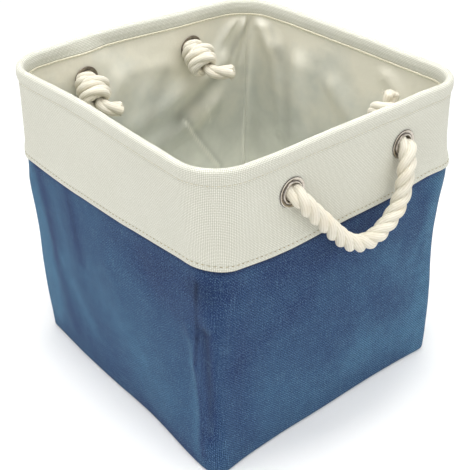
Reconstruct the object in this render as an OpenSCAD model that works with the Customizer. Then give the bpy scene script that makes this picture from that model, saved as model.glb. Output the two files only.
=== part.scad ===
// Square fabric storage bin with a wire rim and two knotted rope handles.
// Millimetres, +Z up, origin at the middle of the underside.
// The handles hang on the +X and -X walls; the -Y wall is the front.

/* [Bin] */
// Height from the floor to the top of the rim
bin_h = 305; // [280:5:330]
// Width across the rim, from handle wall to handle wall
top_w = 306; // [290:2:320]
// Depth across the rim, front to back
top_d = 306; // [290:2:320]
// Width across the base
bottom_w = 294; // [284:2:310]
// Depth across the base
bottom_d = 284; // [280:2:310]
// Corner radius at the rim
top_r = 40; // [30:1:50]
// Corner radius at the base
bottom_r = 12; // [12:1:20]

/* [Cloth and boards] */
// Height of the canvas band, from its lower edge to the top of the rim
band_h = 93; // [84:1:110]
// Thickness of the canvas band
canvas_t = 1.2; // [0.8:0.1:1.5]
// Thickness of the outer wall cloth
cloth_t = 1.2; // [0.8:0.1:1.5]
// Thickness of the coated lining
lining_t = 0.8; // [0.6:0.1:1]
// Thickness of the wall boards
board_t = 2; // [1.5:0.1:2.5]
// Thickness of the base board
base_board_t = 3; // [2:0.5:4]
// How far the canvas band laps over the outer wall cloth
band_lap = 12; // [8:1:16]

/* [Rim] */
// Thickness of the rolled hem at the rim
hem_t = 7.6; // [7.4:0.1:9]
// Depth of the canvas that folds down inside the rim
facing_h = 14; // [12:1:18]
// Diameter of the rim wire
wire_d = 3.2; // [2.5:0.1:3.4]
// Length of the sleeve that joins the wire's two ends
ferrule_l = 26; // [20:1:40]

/* [Eyelets] */
// Distance between a wall's two eyelets, centre to centre
eyelet_gap = 132; // [120:2:140]
// Depth of the eyelet centres below the rim
eyelet_drop = 41; // [38:1:44]
// Bore of an eyelet
eyelet_bore = 16.8; // [16.6:0.1:18]
// Outer diameter of an eyelet's flange
eyelet_d = 27; // [25:0.5:30]

/* [Rope] */
// Diameter of the twisted rope
rope_d = 16; // [14:0.5:16]
// Width of a knot
knot_d = 34; // [30:1:38]
// Diameter of a knot's loose tail
tail_d = 13; // [11:1:14]

/* [Hidden] */

// Clearance between two plies that lie on each other
ply_gap = 0.1;
// Segments in a quarter turn of a cloth corner
corner_steps = 8;
// Segments over the top of the rolled hem, and round the wire and the rope
hem_steps = 8;
wire_sides = 10;
rope_sides = 10;
knot_sides = 16;

// Each ply's outer face, measured inwards from the outside of the canvas band
cloth_in = canvas_t + ply_gap;
board_in = cloth_in + cloth_t + ply_gap;
lining_in = board_in + board_t + ply_gap;
inside_in = lining_in + lining_t + ply_gap;

// The hem rolls round the wire; its centre line is the wire's
hem_r = hem_t / 2;
wire_z = bin_h - hem_r;
ferrule_d = hem_t - 2 * canvas_t - 2 * ply_gap;
tuck_z = bin_h - hem_t - 1.6;

// Layers of the base, from the floor up
board_z = cloth_t + ply_gap;
lining_z = board_z + base_board_t + ply_gap;

// Eyelets: the barrel passes the cloth and curls over the washer inside
eyelet_z = bin_h - eyelet_drop;
eyelet_y = eyelet_gap / 2;
wall_x = top_w / 2 - (top_w - bottom_w) / 2 * eyelet_drop / bin_h;
barrel_wall = 0.8;
barrel_d = eyelet_bore + 2 * barrel_wall;
flange_t = 1.2;
face_gap = 0.35;
flange_x = wall_x + face_gap + flange_t;
washer_t = 1;
washer_x = wall_x - inside_in - face_gap;
curl_t = 0.8;
curl_x = washer_x - washer_t;

// The rope leaves the eyelet and turns down about an axis just outside it
turn_gap = 0.8;
axis_x = flange_x + turn_gap + rope_d / 2;
knot_x = curl_x - curl_t - knot_d / 2 + 1;

// Route of the handle's rope on the +X wall, measured from the front eyelet's
// turning point: outwards, along the wall to the back, and downwards
SAG = [
    [0, 0, 0], [0, 3, 6], [1, 12, 17], [3, 24, 30], [4, 34, 42],
    [5, 44, 53], [6, 54, 62], [6, 67, 68], [6, 80, 70], [6, 93, 66],
    [5, 106, 59], [4, 116, 50], [3, 122, 38], [2, 124, 25], [1, 126, 12],
    [0, 132, 0]
];
route_span = 132;

// Knot tails: how far each stands out of its knot, and where it points
// (towards the middle of the bin, along the wall and up)
tail_l = 18;
TAIL_DOWN_ALONG = [26, 16, -16];
TAIL_DOWN_ACROSS = [24, 24, -14];
TAIL_UP = [16, 12, 26];

function lerp(a, b, t) = a + (b - a) * t;
function half_w(z) = lerp(bottom_w, top_w, z / bin_h) / 2;
function half_d(z) = lerp(bottom_d, top_d, z / bin_h) / 2;
function corner_r(z) = lerp(bottom_r, top_r, z / bin_h);

// Sign of each corner's X and Y, going round from +X +Y
CORNERS = [[1, 1], [-1, 1], [-1, -1], [1, -1]];

// A point on the wall's outline: inset from the outside, height, corner, angle
function wall_point(inset, z, k, a) =
    let (r = corner_r(z))
    [
        CORNERS[k][0] * (half_w(z) - r) + (r - inset) * cos(a),
        CORNERS[k][1] * (half_d(z) - r) + (r - inset) * sin(a),
        z
    ];

// The outline's stations: each corner's arc; the straight walls lie between
STATIONS = [for (k = [0:3]) for (j = [0:corner_steps]) [k, 90 * (k + j / corner_steps)]];

// Two triangles between points a, b of one ring and c, d of the next
function quad(a, b, c, d) = [[a, b, c], [b, d, c]];

// A closed wall all round the bin, swept from a profile of [inset, height]
// points; the profile runs up the outside and down the inside
module wall_ring(profile) {
    n = len(profile);
    m = len(STATIONS);
    points = [for (s = STATIONS) for (p = profile) wall_point(p[0], p[1], s[0], s[1])];
    faces = [for (i = [0:m - 1]) for (j = [0:n - 1])
        let (i2 = (i + 1) % m, j2 = (j + 1) % n)
        each quad(i * n + j, i * n + j2, i2 * n + j, i2 * n + j2)];
    polyhedron(points, faces);
}

// A flat sheet inside the walls, with the bin's own outline
module floor_sheet(inset, z, t) {
    outline = [for (s = STATIONS) let (p = wall_point(inset, z, s[0], s[1])) [p[0], p[1]]];
    translate([0, 0, z])
        linear_extrude(t)
            polygon(outline);
}

// Round holes through both handle walls, one per eyelet
module eyelet_holes(d) {
    for (side = [-1, 1], y = [-eyelet_y, eyelet_y])
        translate([side * wall_x, y, eyelet_z])
            rotate([0, 90, 0])
                cylinder(d = d, h = 40, center = true, $fn = 48);
}

// Points over the top of the hem at radius r about the wire, outside to inside
function hem_arc(r) = [for (i = [0:hem_steps])
    let (a = 180 * i / hem_steps)
    [hem_r - r * cos(a), wire_z + r * sin(a)]];

module top_band() {
    inner_r = hem_r - canvas_t;
    low_in = inside_in + canvas_t;
    outside = [[0, bin_h - band_h]];
    down_inside = [[low_in, bin_h - facing_h], [low_in - canvas_t, bin_h - facing_h]];
    back_up = [for (i = [hem_steps:-1:0]) hem_arc(inner_r)[i]];
    down_back = [[canvas_t, bin_h - band_h]];
    color("ivory")
        difference() {
            wall_ring(concat(outside, hem_arc(hem_r), down_inside, back_up, down_back));
            eyelet_holes(barrel_d + 0.2);
        }
}

// The wire's loop, with a small gap between its ends at the middle of the back
module rim_wire() {
    joint_gap = 0.6;
    section = [for (i = [0:wire_sides - 1])
        let (a = 360 * i / wire_sides)
        [hem_r - wire_d / 2 * cos(a), wire_z + wire_d / 2 * sin(a)]];
    color("silver")
        difference() {
            wall_ring(section);
            translate([0, half_d(wire_z) - hem_r, wire_z])
                cube([joint_gap, 2 * wire_d, 2 * wire_d], center = true);
        }
}

// The crimped sleeve over the wire's joint, in the middle of the back
module rim_ferrule() {
    color("gray")
        translate([0, half_d(wire_z) - hem_r, wire_z])
            rotate([0, 90, 0])
                difference() {
                    cylinder(d = ferrule_d, h = ferrule_l, center = true, $fn = 32);
                    cylinder(d = wire_d + 0.1, h = ferrule_l + 2, center = true, $fn = 32);
                }
}

module outer_wall() {
    top = bin_h - band_h + band_lap;
    color("steelblue")
        wall_ring([
            [cloth_in, 0], [cloth_in, top],
            [cloth_in + cloth_t, top], [cloth_in + cloth_t, 0]
        ]);
}

module outer_base() {
    color("steelblue")
        floor_sheet(board_in, 0, cloth_t);
}

// A flat board between two corners of one wall, standing on the base board
module wall_board(k) {
    low = lining_z;
    high = tuck_z;
    points = [for (z = [low, high]) for (inset = [board_in, board_in + board_t])
        for (c = [k, (k + 1) % 4]) wall_point(inset, z, c, 90 * (k + 1))];
    difference() {
        polyhedron(points, [
            [0, 2, 3, 1], [4, 5, 7, 6], [0, 1, 5, 4],
            [2, 6, 7, 3], [0, 4, 6, 2], [1, 3, 7, 5]
        ]);
        eyelet_holes(barrel_d + 0.2);
    }
}

module board_back() {
    color("burlywood")
        wall_board(0);
}

module board_left() {
    color("burlywood")
        wall_board(1);
}

module board_front() {
    color("burlywood")
        wall_board(2);
}

module board_right() {
    color("burlywood")
        wall_board(3);
}

module base_board() {
    color("burlywood")
        floor_sheet(board_in, board_z, base_board_t);
}

module lining_wall() {
    color("gainsboro")
        difference() {
            wall_ring([
                [lining_in, lining_z], [lining_in, tuck_z],
                [lining_in + lining_t, tuck_z], [lining_in + lining_t, lining_z]
            ]);
            eyelet_holes(barrel_d + 0.2);
        }
}

module lining_base() {
    color("gainsboro")
        floor_sheet(inside_in, lining_z, lining_t);
}

// A turned ring on a handle wall: side is -1 or 1 for the wall, end is -1
// for the front eyelet and 1 for the back one; local +Z points out of the bin
module on_wall(side, end) {
    translate([0, end * eyelet_y, eyelet_z])
        rotate([0, side * 90, 0])
            children();
}

// The eyelet in one piece: domed flange outside, barrel, curl over the washer
module eyelet(side, end) {
    dome = 0.5;
    color("silver")
        on_wall(side, end)
            rotate_extrude($fn = 64)
                polygon([
                    [eyelet_bore / 2, curl_x - curl_t],
                    [barrel_d / 2 + 1.2, curl_x - curl_t],
                    [barrel_d / 2 + 1.2, curl_x],
                    [barrel_d / 2, curl_x],
                    [barrel_d / 2, wall_x + face_gap],
                    [eyelet_d / 2, wall_x + face_gap],
                    [eyelet_d / 2, wall_x + face_gap + flange_t - dome],
                    [eyelet_d / 2 - 1.5, flange_x],
                    [eyelet_bore / 2 + 0.8, flange_x],
                    [eyelet_bore / 2, flange_x - dome]
                ]);
}

module washer(side, end) {
    color("dimgray")
        on_wall(side, end)
            translate([0, 0, curl_x + 0.05])
                difference() {
                    cylinder(d = eyelet_d, h = washer_t, $fn = 64);
                    translate([0, 0, -1])
                        cylinder(d = barrel_d + 0.2, h = washer_t + 2, $fn = 64);
                }
}

module eyelet_right_front() {
    eyelet(1, -1);
}

module eyelet_right_back() {
    eyelet(1, 1);
}

module eyelet_left_front() {
    eyelet(-1, -1);
}

module eyelet_left_back() {
    eyelet(-1, 1);
}

module washer_right_front() {
    washer(1, -1);
}

module washer_right_back() {
    washer(1, 1);
}

module washer_left_front() {
    washer(-1, -1);
}

module washer_left_back() {
    washer(-1, 1);
}

// Smooth curve through a list of points (Catmull-Rom), n steps a span
function spline_point(p, i, t) =
    let (
        last = len(p) - 1,
        a = p[max(i - 1, 0)],
        b = p[i],
        c = p[i + 1],
        d = p[min(i + 2, last)]
    )
    0.5 * (2 * b + (c - a) * t + (2 * a - 5 * b + 4 * c - d) * t * t
        + (3 * b - a - 3 * c + d) * t * t * t);
function smooth(p, n) = concat(
    [for (i = [0:len(p) - 2]) for (j = [0:n - 1]) spline_point(p, i, j / n)],
    [p[len(p) - 1]]);

function unit(v) = v / norm(v);
function heading(p, i) = unit(p[min(i + 1, len(p) - 1)] - p[max(i - 1, 0)]);

// A round body swept through rings of [centre, heading, radius]; out is a
// direction that the rings never face
module swept(rings, n, out) {
    m = len(rings);
    vertices = [for (q = rings) for (k = [0:n - 1])
        let (u = unit(cross(q[1], out)), v = cross(q[1], u), a = 360 * k / n)
        q[0] + q[2] * (cos(a) * u + sin(a) * v)];
    side_faces = [for (i = [0:m - 2]) for (k = [0:n - 1])
        let (k2 = (k + 1) % n)
        each quad(i * n + k, i * n + k2, (i + 1) * n + k, (i + 1) * n + k2)];
    caps = [[for (k = [n - 1:-1:0]) k], [for (k = [0:n - 1]) (m - 1) * n + k]];
    polyhedron(vertices, concat(side_faces, caps));
}

// A ring of a sphere of radius r, cut square to aim at an angle from it
function sphere_ring(centre, aim, r, a) = [centre + aim * r * cos(a), aim, r * sin(a)];

// A rope along points, with rounded ends
module rope(points, d, out) {
    r = d / 2;
    last = len(points) - 1;
    first_aim = heading(points, 0);
    last_aim = heading(points, last);
    swept(concat(
        [for (a = [160, 125]) sphere_ring(points[0], first_aim, r, a)],
        [for (i = [0:last]) [points[i], heading(points, i), r]],
        [for (a = [55, 20]) sphere_ring(points[last], last_aim, r, a)]
    ), rope_sides, out);
}

// The handle's rope outside the wall, hanging from its two turning points
module rope_loop() {
    route = [for (s = SAG) [axis_x + s[0], s[1] * eyelet_gap / route_span - eyelet_y, eyelet_z - s[2]]];
    rope(smooth(route, 2), rope_d, [1, 0, 0]);
}

module handle_right() {
    color("linen")
        rope_loop();
}

module handle_left() {
    color("linen")
        rotate([0, 0, 180])
            rope_loop();
}

// The rope inside: a plug through the eyelet, an overhand knot and a loose tail
module rope_knot(side, end, tail) {
    r = knot_d / 2;
    centre = [side * knot_x, end * eyelet_y, eyelet_z];
    inward = [-side, 0, 0];
    aim = unit([-side * tail[0], tail[1], tail[2]]);
    plug_end = [side * flange_x, end * eyelet_y, eyelet_z];
    plug_a = 180 - asin(rope_d / knot_d);
    tail_a = asin(tail_d / knot_d);
    color("linen")
        swept(concat(
            [[plug_end, inward, rope_d / 2]],
            [for (t = [0, 0.3, 0.65]) sphere_ring(centre, inward, r, lerp(plug_a, 90, t))],
            [[centre, unit(inward + aim), r]],
            [for (t = [0.35, 0.7, 1]) sphere_ring(centre, aim, r, lerp(90, tail_a, t))],
            [[centre + aim * (r + tail_l), aim, tail_d / 2]]
        ), knot_sides, [0, 1, 0.2]);
}

module knot_right_front() {
    rope_knot(1, -1, TAIL_DOWN_ALONG);
}

module knot_right_back() {
    rope_knot(1, 1, TAIL_UP);
}

module knot_left_front() {
    rope_knot(-1, -1, TAIL_DOWN_ALONG);
}

module knot_left_back() {
    rope_knot(-1, 1, TAIL_DOWN_ACROSS);
}

top_band();
rim_wire();
rim_ferrule();
outer_wall();
outer_base();
board_front();
board_back();
board_left();
board_right();
base_board();
lining_wall();
lining_base();
eyelet_right_front();
eyelet_right_back();
eyelet_left_front();
eyelet_left_back();
washer_right_front();
washer_right_back();
washer_left_front();
washer_left_back();
handle_right();
handle_left();
knot_right_front();
knot_right_back();
knot_left_front();
knot_left_back();
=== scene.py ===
"""Looks of the fabric storage bin: cloth, lining, rope, knots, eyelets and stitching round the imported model.

Lengths are metres; a name that ends in _MM is in millimetres. The walls are numbered going round
from the back-left corner: 0 left, 1 front, 2 right, 3 back.
"""
import math

import bmesh
import bpy
import numpy as np
from mathutils import Matrix, Vector, noise


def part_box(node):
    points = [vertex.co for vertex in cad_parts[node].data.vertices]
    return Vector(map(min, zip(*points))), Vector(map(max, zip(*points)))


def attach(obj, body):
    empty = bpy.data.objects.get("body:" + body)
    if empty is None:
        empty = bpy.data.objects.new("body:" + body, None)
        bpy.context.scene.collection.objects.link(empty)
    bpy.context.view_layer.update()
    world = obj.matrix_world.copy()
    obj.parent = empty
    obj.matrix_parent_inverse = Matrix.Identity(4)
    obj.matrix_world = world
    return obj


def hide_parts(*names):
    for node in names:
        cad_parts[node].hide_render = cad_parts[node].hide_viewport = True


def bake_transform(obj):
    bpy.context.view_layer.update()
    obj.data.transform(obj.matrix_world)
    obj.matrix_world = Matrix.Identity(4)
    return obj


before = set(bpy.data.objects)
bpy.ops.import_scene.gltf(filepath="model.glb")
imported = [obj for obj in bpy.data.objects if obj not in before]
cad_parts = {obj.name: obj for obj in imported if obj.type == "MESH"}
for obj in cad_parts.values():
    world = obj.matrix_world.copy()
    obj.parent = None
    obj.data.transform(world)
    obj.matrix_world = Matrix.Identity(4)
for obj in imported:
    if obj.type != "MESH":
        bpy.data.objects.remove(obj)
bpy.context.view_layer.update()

MM = 0.001

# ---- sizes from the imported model
band_low, band_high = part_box("top_band")
board_low, board_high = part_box("base_board")
eyelet_low, eyelet_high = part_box("eyelet_right_back")
BIN_H = band_high.z
TOP_W = band_high.x - band_low.x
TOP_D = band_high.y - band_low.y
BOARD_IN = 2.6 * MM
BASE_W = 2 * (board_high.x + BOARD_IN)
BASE_D = 2 * (board_high.y + BOARD_IN)
BAND_EDGE = band_low.z
BASE_TOP = board_high.z
EYELET_Y = (eyelet_low.y + eyelet_high.y) / 2
EYELET_Z = (eyelet_low.z + eyelet_high.z) / 2
HOLE_R = 9.7 * MM
HANDLE_WALL_FROM = 120 * MM
FLANGE_X = eyelet_high.x
CURL_X = eyelet_low.x
WIRE_IN = 3.8 * MM
WIRE_Z = BIN_H - WIRE_IN

# ---- camera, first
CAMERA_AT = Vector((0.652, -0.549, 0.654))
CAMERA_AIM = Vector((0.0015, 0.002, 0.125))
CAMERA_LENS_MM = 76.3


def make_camera():
    data = bpy.data.cameras.new("camera")
    data.sensor_width = 36
    data.lens = CAMERA_LENS_MM
    camera = bpy.data.objects.new("camera", data)
    bpy.context.scene.collection.objects.link(camera)
    camera.location = CAMERA_AT
    camera.rotation_mode = "QUATERNION"
    camera.rotation_quaternion = (CAMERA_AIM - CAMERA_AT).to_track_quat("-Z", "Y")
    bpy.context.scene.camera = camera


make_camera()


# ---- small helpers
def deselect():
    if bpy.context.object and bpy.context.object.mode != "OBJECT":
        bpy.ops.object.mode_set(mode="OBJECT")
    bpy.ops.object.select_all(action="DESELECT")


def choose(piece):
    deselect()
    piece.select_set(True)
    bpy.context.view_layer.objects.active = piece


def apply_modifier(piece, kind, **settings):
    choose(piece)
    modifier = piece.modifiers.new(kind.lower(), kind)
    for name, value in settings.items():
        setattr(modifier, name, value)
    bpy.ops.object.modifier_apply(modifier=modifier.name)


def shade(piece, degrees=None):
    choose(piece)
    if degrees is None:
        bpy.ops.object.shade_smooth()
    else:
        bpy.ops.object.shade_smooth_by_angle(angle=math.radians(degrees))


def smoothstep(x, low, high):
    t = np.clip((np.asarray(x, float) - low) / (high - low), 0, 1)
    return t * t * (3 - 2 * t)


def wander(points, scale, seed):
    """Smooth noise from -1 to 1 at each point; scale is how many waves there are in a metre."""
    shift = Vector((seed * 7.3, seed * 3.1, seed * 5.7))
    return np.array([noise.noise(Vector(p) * scale + shift) for p in points])


def cloth_mesh(name, points, faces, uvs):
    """A mesh with a UV map in metres along and up the cloth; uvs has one row for each face corner."""
    mesh = bpy.data.meshes.new(name)
    mesh.from_pydata([tuple(p) for p in points], [], [tuple(int(i) for i in f) for f in faces])
    layer = mesh.uv_layers.new(name="cloth")
    layer.data.foreach_set("uv", np.asarray(uvs, np.float32).ravel())
    piece = bpy.data.objects.new(name, mesh)
    bpy.context.scene.collection.objects.link(piece)
    mesh.update()
    return piece


def grid(rows, columns, wrap=True, closed=False):
    """Faces of points laid in rows; wrap joins each row's ends, and closed the last row to the first."""
    across = range(columns if wrap else columns - 1)
    down = range(rows if closed else rows - 1)
    return [(j * columns + k, j * columns + (k + 1) % columns,
             (j + 1) % rows * columns + (k + 1) % columns, (j + 1) % rows * columns + k)
            for j in down for k in across]


def grid_uvs(u, v):
    """UVs of a grid's faces, from u and v at the corners; each row has one more corner than points."""
    corner = np.stack(np.broadcast_arrays(u, v), axis=-1)
    faces = np.stack([corner[:-1, :-1], corner[:-1, 1:], corner[1:, 1:], corner[1:, :-1]], axis=2)
    return faces.reshape(-1, 2)


def unit(v):
    v = np.asarray(v, float)
    return v / np.linalg.norm(v, axis=-1, keepdims=True)


# ---- rope: three strands laid together
LAY_PITCH = 42 * MM
STRAND_YARNS = 12
YARN_TWIST = 95.0
ROPE_SIDES = 36


def spline(points, step):
    """A smooth line near the given points, resampled to about one step; a fourth column is thickness."""
    p = np.asarray(points, float)
    p = np.vstack([2 * p[0] - p[1], p, 2 * p[-1] - p[-2]])
    fine = []
    for i in range(len(p) - 3):
        a, b, c, d = p[i:i + 4]
        for t in np.linspace(0, 1, 12, endpoint=False):
            fine.append(((1 - t) ** 3 * a + (3 * t ** 3 - 6 * t ** 2 + 4) * b
                         + (-3 * t ** 3 + 3 * t ** 2 + 3 * t + 1) * c + t ** 3 * d) / 6)
    fine.append((p[-3] + 4 * p[-2] + p[-1]) / 6)
    fine = np.array(fine)
    run = run_length(fine[:, :3])
    at = np.linspace(0, run[-1], max(4, round(run[-1] / step)))
    return np.column_stack([np.interp(at, run, column) for column in fine.T])


def headings(line):
    return unit(np.gradient(line, axis=0))


def carried_frames(line, first):
    """Two directions square to the line, carried along it without twisting."""
    along = headings(line)
    side = [unit(first - along[0] * (along[0] @ first))]
    for t in along[1:]:
        v = side[-1] - t * (t @ side[-1])
        side.append(unit(v))
    side = np.array(side)
    return side, np.cross(along, side)


def run_length(line):
    return np.concatenate([[0], np.cumsum(np.linalg.norm(np.diff(line, axis=0), axis=1))])


def strand_surface(line, radius, inward, seed):
    """Rings of a strand along its own line: points, faces and UVs, closed by rounded ends."""
    along = headings(line)
    up = unit(inward - along * np.sum(inward * along, axis=1, keepdims=True))
    side = np.cross(along, up)
    run = run_length(line)
    lead = radius[0] * 0.45
    ends = [(-lead, 0.55), (-lead * 0.55, 0.86)]
    rings = [(line[0] + along[0] * d, 0, k) for d, k in ends]
    rings += [(p, i, 1.0) for i, p in enumerate(line)]
    rings += [(line[-1] - along[-1] * d, len(line) - 1, k) for d, k in reversed(ends)]
    angle = np.linspace(0, 2 * math.pi, ROPE_SIDES, endpoint=False)
    lumps = wander(line, 190, seed) * 0.035
    points = []
    for centre, i, shrink in rings:
        yarn = np.abs(np.sin((angle + YARN_TWIST * run[i]) * STRAND_YARNS / 2)) ** 0.7
        r = radius[i] * shrink * (0.985 + 0.015 * yarn + lumps[i])
        ring = np.outer(np.cos(angle), up[i]) + np.outer(np.sin(angle), side[i])
        points.append(centre + r[:, None] * ring)
    first_pole = line[0] - along[0] * lead * 1.15
    last_pole = line[-1] + along[-1] * lead * 1.15
    place = np.concatenate([[run[0] - lead, run[0] - lead / 2], run, [run[-1] + lead / 2, run[-1] + lead]])
    spin = YARN_TWIST * place / (2 * math.pi)
    n = ROPE_SIDES
    faces = grid(len(rings), n)
    last = (len(rings) - 1) * n
    pole = last + n
    for k in range(n):
        faces += [(pole, (k + 1) % n, k), (pole + 1, last + k, last + (k + 1) % n)]
    uvs = grid_uvs(np.arange(n + 1) / n + spin[:, None], place[:, None])
    end_uvs = [(k / n, place[j]) for k in range(n) for j in (0, -1) for _ in range(3)]
    return np.vstack(points + [first_pole, last_pole]), faces, np.vstack([uvs, end_uvs])


def laid_rope(name, line, thickness, first, phase, seed, apart=0.485, pitch=LAY_PITCH):
    """Three strands twisted about a line; thickness is the rope's radius at each point of the line."""
    side, up = carried_frames(line, np.asarray(first, float))
    run = run_length(line)
    points, faces, uvs = [], [], []
    for strand in range(3):
        a = 2 * math.pi * (run / pitch + strand / 3) + phase
        out = np.cos(a)[:, None] * side + np.sin(a)[:, None] * up
        sway = 1 + 0.05 * wander(line, 60, seed + strand)[:, None]
        centre = line + out * (thickness * apart)[:, None] * sway
        base = sum(len(p) for p in points)
        places, corners, flat = strand_surface(centre, thickness * (1 - apart), -out, seed + 10 * strand)
        points.append(places)
        faces += [tuple(i + base for i in face) for face in corners]
        uvs.append(flat)
    piece = cloth_mesh(name, np.vstack(points), faces, np.vstack(uvs))
    shade(piece)
    return piece


# Route of a handle's rope on the right wall, in millimetres from the front eyelet's turning point:
# outwards, along the wall to the back, and downwards. The first points lead out of the eyelet.
LEAD_MM = [(-13.5, 0, 0), (-10, 0, 0), (-6.5, 0.4, 0.4), (-3.0, 1.4, 2.0), (-0.6, 2.6, 4.6)]
SAG_MM = [
    (0, 3, 6), (1, 12, 17), (3, 24, 30), (4, 34, 42),
    (5, 44, 53), (6, 54, 62), (6, 67, 68), (6, 80, 70), (6, 93, 66),
    (5, 106, 59), (4, 116, 50), (3, 122, 38), (2, 124, 25), (1, 126, 12),
]
TAIL_MM = [(-0.4, 130.0, 4.6), (-3.0, 131.2, 2.0), (-6.5, 131.8, 0.4), (-10, 132, 0), (-13.5, 132, 0)]
ROPE_R = 8.2 * MM
AXIS_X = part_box("handle_right")[0].x + 8 * MM


def loop_route(side):
    """The loop's points on the right wall (side 1), or turned half round for the left wall (side -1)."""
    steps = np.array(LEAD_MM[:-1] + SAG_MM + TAIL_MM[1:], float) * MM
    route = np.column_stack([AXIS_X + steps[:, 0], steps[:, 1] - EYELET_Y, EYELET_Z - steps[:, 2]])
    return route * [side, side, 1]


def make_loop(side, name):
    """A handle's rope between its two eyelets, with its middle line."""
    line = spline(loop_route(side), 1.5 * MM)
    thickness = np.full(len(line), ROPE_R)
    return laid_rope(name, line, thickness, (0, 0, 1), 0.6, 4 - side), line


# ---- knots
# The rope runs through the knot's core to its far end, winds back over itself to the wall, is tucked
# through the core again and comes out as the tail. Squeezed in the core, it is thin there.
TURN_R_MM = 10.9
TURN_PITCH_MM = 10.6
TURNS = 2.15
KNOT_R_MM = 6.5
CORE_R_MM = 2.6
KNOT_R = KNOT_R_MM * MM
KNOT_PITCH = 74 * MM
TAIL_STEP_MM = 3
FRAY_YARNS = 150

# Where the knots' middles lie from their bores, and the way their first turns face: into the bin,
# along the wall towards the back, up
KNOT_IN = 10.6 * MM
KNOT_DROP = np.array([0, -2.2, 3.4]) * MM
KNOT_FACE = np.array([0.43, -0.45, 0.78])

# Each knot: wall side, end of the wall (-1 front); then, as (into the bin, along the wall towards the
# back, up), the way its axis points and the way its tail points; tail length in mm, first turn's angle
KNOTS = {
    "knot_right_front": (1, -1, (0.79, 0.22, -0.57), (0.25, -0.9, -0.3), 24, -100),
    "knot_right_back": (1, 1, (0.50, 0.50, 0.70), (-0.10, 0.10, 0.98), 10, -60),
    "knot_left_front": (-1, -1, (0.75, -0.30, -0.59), (0.25, 0.93, -0.25), 21, -100),
    "knot_left_back": (-1, 1, (0.77, -0.24, -0.57), (0.30, 0.94, -0.10), 27, -85),
}


def stopper_knot(first_angle):
    """The knot's middle line and thickness in its own frame: along the axis, and round it; millimetres."""
    far = TURNS * TURN_PITCH_MM
    steps = [(k, CORE_R_MM, first_angle - 120, CORE_R_MM) for k in np.linspace(-4, far - 3, 7)]
    steps += [(far + 0.5, 3.4, first_angle - 110, 3.6), (far + 2.4, 5.6, first_angle - 80, 4.9),
              (far + 2.6, 8.2, first_angle - 45, 5.5)]
    count = 40
    for i in range(count + 1):
        t = i / count
        steps.append((far * (1 - t), TURN_R_MM, first_angle + 360 * TURNS * t, KNOT_R_MM))
    last = first_angle + 360 * TURNS
    steps += [(-0.6, 8.4, last + 40, 5.0), (-1.0, 5.6, last + 80, 4.0), (0.4, 3.4, last + 120, 3.2)]
    steps += [(k, CORE_R_MM, 90, CORE_R_MM) for k in np.linspace(4, far - 2, 6)]
    steps += [(far + 1.5, 3.0, 90, 4.2), (far + 4.5, 3.4, 90, 6.0)]
    axial, off, angle, thick = np.array(steps, float).T
    angle = np.radians(angle)
    return np.column_stack([axial, off * np.cos(angle), off * np.sin(angle)]) * MM, thick * MM


def knot_line(side, end, axis, tail_way, tail_mm, first_angle):
    """The rope's middle line from inside the eyelet, through the knot, to the tail's end, with thickness."""
    turn = np.array([-side, 1.0, 1.0])
    inward = np.array([-side, 0.0, 0.0])
    axis, tail_way = unit(axis) * turn, unit(tail_way) * turn
    shown = KNOT_FACE * turn
    shown = unit(shown - axis * (shown @ axis))
    across = np.cross(shown, axis) * -side
    body, thick = stopper_knot(first_angle)
    bore = np.array([side * CURL_X, end * EYELET_Y, EYELET_Z])
    centre = bore + inward * KNOT_IN + KNOT_DROP
    placed = centre + body[:, :1] * axis + body[:, 1:2] * shown + body[:, 2:3] * across
    lead = [bore - inward * 5 * MM, bore - inward * 1 * MM, bore + inward * 3 * MM]
    lead_thick = [ROPE_R, ROPE_R * 0.95, 5.5 * MM]
    tail = []
    at, way = placed[-1], axis
    for _ in range(int(tail_mm / TAIL_STEP_MM)):
        way = unit(way * 0.55 + tail_way * 0.45)
        at = at + way * TAIL_STEP_MM * MM
        tail.append(at)
    thickness = np.concatenate([lead_thick, thick, np.linspace(7.0, 7.9, len(tail)) * MM])
    return np.column_stack([np.vstack([lead, placed, tail]), thickness])


def make_knot(name, side, end, axis, tail_way, tail_mm, first_angle):
    """A knotted rope end, with its middle line."""
    line = spline(knot_line(side, end, axis, tail_way, tail_mm, first_angle), 1.2 * MM)
    middle, thickness = line[:, :3], line[:, 3]
    seed = 20 + 3 * side + end
    return laid_rope(name, middle, thickness, (0, 0.3, 1), end * 1.1, seed, 0.40, KNOT_PITCH), middle


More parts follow.
